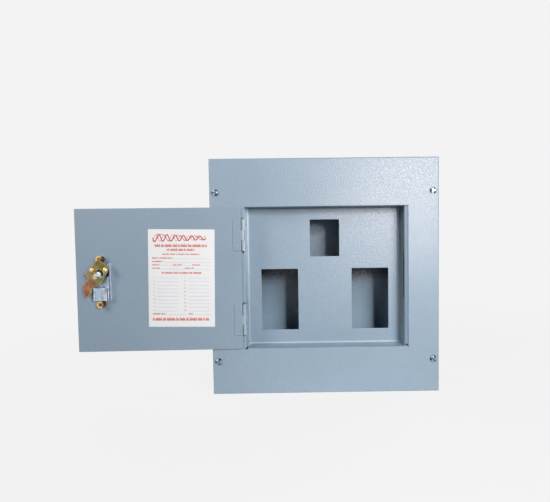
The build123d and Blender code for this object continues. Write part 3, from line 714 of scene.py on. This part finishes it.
def cardMaterial(s):
    material, tree, shader = newMaterial("cardStock")
    place = placeOn(tree)
    smudge = spread(tree, noise(tree, place, s["smudgeScale"]), *s["smudgeRange"])
    setInput(tree, shader, "Base Color", mixColours(tree, smudge, s["white"], s["smudge"]))
    setInput(tree, shader, "Roughness", s["roughness"])
    setInput(tree, shader, "Specular IOR Level", s["specular"])
    addBump(tree, shader, noise(tree, place, s["fibreScale"]), s["bump"], s["bumpDepth"])
    return material


# The finish of each slot, and of the pieces that have one of their own
finishBySlot = {
    "painted_steel": coat,
    "zinc": metal["brightZinc"],
    "yellow_zinc": metal["yellowPassivated"],
    "brass": metal["turnedBrass"],
    "copper": metal["plainCopper"],
    "bar_aluminium": metal["barAluminium"],
    "insulator": plastic["mouldedInsulator"],
    "card": cardMaterial(stock),
    "red_insert": plastic["redInsert"],
}
finishByNode = {
    "enclosure_box": insideCoat,
    "dead_front_pan": panCoat,
    "door": doorCoat,
    "cover_screws": metal["screwZinc"],
    "latch_bracket": metal["bracketZinc"],
    "latch_block": metal["castZinc"],
    "latch_spindle": metal["spindleZinc"],
    "latch_studs": metal["studSteel"],
    "latch_nuts": metal["nutBrass"],
}
for hinge in ("upper_hinge", "lower_hinge"):
    finishByNode[hinge + "_door_leaf"] = doorCoat
    finishByNode[hinge + "_frame_leaf"] = leafCoat
    finishByNode[hinge + "_pin"] = leafCoat

for entry in frame["record"]["subparts"]:
    mesh = nodes[entry["node"]].data
    mesh.materials.clear()
    mesh.materials.append(finishByNode.get(entry["node"], finishBySlot[entry["material_slot"]]))
print("finishes given")

# Print on the card, a hair above the paper: a ribbon of waves, lines of blocks like words, rules and row
# numbers. Places and heights are shares of the card's width or height from its top left corner. A line has
# its top, height, left and right, a rule its top, left and right, and a strand its turns, start and radius.
card = {
    "width": 0.1048,
    "height": 0.1558,
    "thickness": 0.00025,
    "slant": 1.0,       # degrees that the card is pasted out of true
    "doorTurn": 1.0,    # degrees that the open door is short of flat
    "relief": 0.00003,
    "letter": 0.0105,
    "letterGap": 0.0035,
    "letterHeights": (1.0, 0.72, 0.74, 1.0, 0.72, 0.9, 0.72),
    "words": (6, 3, 8, 5, 2, 7, 4, 9, 3),
    "wordGap": 0.8,
    "lines": (
        (0.15, 0.030, 0.10, 0.885), (0.195, 0.025, 0.28, 0.71), (0.246, 0.014, 0.21, 0.79),
        (0.285, 0.015, 0.06, 0.37), (0.320, 0.015, 0.06, 0.225),
        (0.356, 0.013, 0.06, 0.19), (0.356, 0.013, 0.37, 0.51), (0.356, 0.013, 0.66, 0.79),
        (0.390, 0.013, 0.06, 0.19), (0.390, 0.013, 0.55, 0.69), (0.434, 0.019, 0.20, 0.80),
        (0.858, 0.015, 0.06, 0.25), (0.858, 0.015, 0.60, 0.69), (0.904, 0.033, 0.06, 0.92),
    ),
    "rules": (
        (0.300, 0.385, 0.94), (0.336, 0.24, 0.94),
        (0.370, 0.20, 0.36), (0.370, 0.52, 0.65), (0.370, 0.80, 0.94),
        (0.404, 0.20, 0.54), (0.404, 0.70, 0.94), (0.874, 0.26, 0.58), (0.874, 0.70, 0.94),
    ),
    "ruleHeight": 0.0026,
    "rowTop": 0.496,
    "rowPitch": 0.0378,
    "rows": 10,
    "rowRules": ((0.133, 0.45), (0.60, 0.93)),
    "rowNumbers": (0.086, 0.55),
    "numberSize": 0.0036,
    "wave": {"left": 0.07, "right": 0.87, "middle": 0.088, "height": 0.040, "fall": 0.55, "points": 91,
             "strands": ((6.5, 0.0, 0.0008), (6.5, 0.35, 0.0003), (3.25, 0.2, 0.0004))},
}


# The print is drawn lying down, and this stands it up and lays it on the card
def cardMatrix(c):
    low, high = cornersOf("directory_card")
    centre = (low + high) / 2 - Vector((0.0, c["thickness"] / 2, 0.0))
    turn = Matrix.Rotation(math.radians(c["doorTurn"]), 4, "Z")
    slant = Matrix.Rotation(math.radians(c["slant"]), 4, "Y")
    return Matrix.Translation(centre) @ turn @ slant @ Matrix.Rotation(math.pi / 2, 4, "X")


def cardPoint(c, x, y):
    return Vector(((x - 0.5) * c["width"], (0.5 - y) * c["height"], 0.0))


# A thin printed block between two corners
def addBlock(bm, c, x0, y0, x1, y1):
    low, high = cardPoint(c, x0, y1), cardPoint(c, x1, y0)
    size = Matrix.Diagonal((high.x - low.x, high.y - low.y, 2 * c["relief"], 1.0))
    bmesh.ops.create_cube(bm, size=1.0, matrix=Matrix.Translation((low + high) / 2) @ size)


# A line of blocks like words, from one side to the other; each line starts at another word of the list
def addWords(bm, c, top, height, left, right, start):
    words, heights = c["words"], c["letterHeights"]
    step = c["letter"] + c["letterGap"]
    x, word, letter = left, start, start
    while x + c["letter"] <= right:
        for _ in range(words[word % len(words)]):
            if x + c["letter"] > right:
                break
            tall = height * heights[letter % len(heights)]
            addBlock(bm, c, x, top + height - tall, x + c["letter"], top + height)
            x += step
            letter += 1
        x += step * c["wordGap"]
        word += 1


def addMesh(bm, data, matrix):
    holder = addObject("holder", data)
    mesh = bpy.data.meshes.new_from_object(holder)
    mesh.transform(matrix)
    bm.from_mesh(mesh)
    bpy.data.objects.remove(holder)
    bpy.data.meshes.remove(mesh)


def addNumber(bm, c, number, x, y):
    data = bpy.data.curves.new("number", "FONT")
    data.body = str(number)
    data.size = c["numberSize"]
    data.align_x = "CENTER"
    data.extrude = c["relief"]
    addMesh(bm, data, Matrix.Translation(cardPoint(c, x, y)))


def addWaves(bm, c):
    w = c["wave"]
    for turns, start, line in w["strands"]:
        data = bpy.data.curves.new("wave", "CURVE")
        data.dimensions = "3D"
        data.bevel_depth = line
        data.bevel_resolution = 1
        data.resolution_u = 4
        spline = data.splines.new("NURBS")
        spline.points.add(w["points"] - 1)
        for index, point in enumerate(spline.points):
            share = index / (w["points"] - 1)
            lift = math.sin(2 * math.pi * (share * turns + start)) * w["height"] * (1 - w["fall"] * share)
            x = w["left"] + share * (w["right"] - w["left"])
            point.co = (*cardPoint(c, x, w["middle"] + lift), 1.0)
        spline.order_u = 4
        spline.use_endpoint_u = True
        addMesh(bm, data, Matrix.Diagonal((1.0, 1.0, c["relief"] / line, 1.0)))


def addRules(bm, c):
    rules = list(c["rules"])
    for row in range(c["rows"]):
        rules += [(c["rowTop"] + row * c["rowPitch"], *ends) for ends in c["rowRules"]]
    for y, x0, x1 in rules:
        addBlock(bm, c, x0, y, x1, y + c["ruleHeight"])


def finishPrint(name, bm, c, ink):
    mesh = bpy.data.meshes.new(name)
    bm.to_mesh(mesh)
    bm.free()
    mesh.transform(cardMatrix(c))
    mesh.materials.append(ink)
    piece = addObject(name, mesh)
    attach(piece, "door")


def printCard(c):
    bm = bmesh.new()
    for start, line in enumerate(c["lines"]):
        addWords(bm, c, *line, start)
    finishPrint("printedLines", bm, c, plastic["redInk"])
    bm = bmesh.new()
    addWaves(bm, c)
    finishPrint("printedWaves", bm, c, plastic["redInk"])
    bm = bmesh.new()
    addRules(bm, c)
    finishPrint("printedRules", bm, c, plastic["paleInk"])
    bm = bmesh.new()
    for row in range(c["rows"]):
        for column, x in enumerate(c["rowNumbers"]):
            addNumber(bm, c, 2 * row + column + 1, x, c["rowTop"] + row * c["rowPitch"])
    finishPrint("printedNumbers", bm, c, plastic["redInk"])


printCard(card)
print("card printed")

# Room: a pale floor that keeps a soft shadow near the object, and a pale world all round.
# Reaches are distances from the middle, where a change starts and where it is complete.
room = {
    "colour": linear(243, 243, 243),
    "floorDrop": 0.0005,
    "floorSize": 12.0,
    "floorRoughness": 0.9,
    "shadowReach": (0.45, 1.3),         # the shadow fades out over this stretch
    "floorGlow": 0.93,                  # share of the floor's white that needs no light
    "bounce": linear(112, 112, 114),    # the floor's colour for the light that it sends back up
    "bounceReach": (0.22, 0.42),        # nearer than this it sends back its own white
    "worldLevel": 0.01,                 # light that the world gives to the object's surfaces
}


def seenDirectly(tree):
    path = addNode(tree, "ShaderNodeLightPath")
    seen = mathNode(tree, "MAXIMUM", path.outputs["Is Camera Ray"], path.outputs["Is Glossy Ray"])
    return mathNode(tree, "MAXIMUM", seen, path.outputs["Is Transmission Ray"])


def floorMaterial(r):
    material, tree, shader = newMaterial("paleFloor")
    setInput(tree, shader, "Base Color", r["colour"])
    setInput(tree, shader, "Roughness", r["floorRoughness"])
    setInput(tree, shader, "Specular IOR Level", 0.0)
    far = addNode(tree, "ShaderNodeVectorMath", {0: placeOn(tree)}, operation="LENGTH").outputs["Value"]
    glowShare = spread(tree, far, *r["shadowReach"], r["floorGlow"], 1.0)
    glow = addNode(tree, "ShaderNodeEmission", {"Color": r["colour"], "Strength": 1.0})
    lit = addNode(tree, "ShaderNodeMixShader", {0: glowShare, 1: shader.outputs[0], 2: glow.outputs[0]})
    away = mixColours(tree, spread(tree, far, *r["bounceReach"]), r["colour"], r["bounce"])
    bounce = addNode(tree, "ShaderNodeBsdfDiffuse", {"Color": away})
    seen = seenDirectly(tree)
    mix = addNode(tree, "ShaderNodeMixShader", {0: seen, 1: bounce.outputs[0], 2: lit.outputs[0]})
    setInput(tree, nodeOf(tree, "OUTPUT_MATERIAL"), 0, mix.outputs[0])
    return material


def makeFloor(r):
    mesh = bpy.data.meshes.new("floor")
    bm = bmesh.new()
    bmesh.ops.create_grid(bm, x_segments=1, y_segments=1, size=r["floorSize"])
    bmesh.ops.translate(bm, verts=bm.verts, vec=(0, 0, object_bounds()[0].z - r["floorDrop"]))
    bm.to_mesh(mesh)
    bm.free()
    mesh.materials.append(floorMaterial(r))
    addObject("floor", mesh)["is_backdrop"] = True


def makeWorld(r):
    world = bpy.data.worlds.new("paleWorld")
    bpy.context.scene.world = world
    world.use_nodes = True
    tree = world.node_tree
    tree.nodes.clear()
    out = tree.nodes.new("ShaderNodeOutputWorld")
    strength = mathNode(tree, "MULTIPLY_ADD", seenDirectly(tree), 1.0 - r["worldLevel"], r["worldLevel"])
    glow = addNode(tree, "ShaderNodeBackground", {"Color": r["colour"], "Strength": strength})
    setInput(tree, out, 0, glow.outputs[0])


makeFloor(room)
makeWorld(room)

# A ring of small soft lamps in front, up and to the right, and wide soft lamps for the other sides
keyRing = {
    "place": (0.39, -0.86, 0.26),
    "aim": (0.0, -0.1, 0.0),
    "radius": 0.14,
    "lamps": 12,
    "lampSize": 0.065,
    "power": 6.4,
    "leftShare": 0.6,       # how much stronger the ring is on its left than at its middle
}
softLamps = (
    {"name": "fillLight", "place": (-1.3, -1.1, 0.85), "aim": (-0.1, -0.1, 0.0), "size": 0.8, "power": 11.6},
    {"name": "backLeftLight", "place": (-1.3, 0.9, 0.9), "aim": (0.0, 0.0, 0.0), "size": 1.0, "power": 14.0},
    {"name": "backRightLight", "place": (1.3, 0.9, 0.9), "aim": (0.0, 0.0, 0.0), "size": 1.0, "power": 14.0},
)


def addLamp(name, place, aim, size, power):
    data = bpy.data.lights.new(name, "AREA")
    data.shape = "DISK"
    data.size = size
    data.energy = power
    lamp = addObject(name, data)
    lamp.location = place
    lamp.rotation_mode = "QUATERNION"
    lamp.rotation_quaternion = (Vector(aim) - Vector(place)).to_track_quat("-Z", "Y")
    lamp.visible_camera = False


def lightRing(k):
    middle = Vector(k["place"])
    turn = (Vector(k["aim"]) - middle).to_track_quat("-Z", "Y")
    for index in range(k["lamps"]):
        angle = 2 * math.pi * index / k["lamps"]
        offset = turn @ Vector((math.cos(angle), math.sin(angle), 0)) * k["radius"]
        share = (1 - k["leftShare"] * math.cos(angle)) / k["lamps"]
        addLamp("keyLight%d" % index, middle + offset, k["aim"], k["lampSize"], k["power"] * share)


lightRing(keyRing)
for lamp in softLamps:
    addLamp(**lamp)
bpy.context.scene.view_settings.view_transform = "Standard"
print("room and lights made")
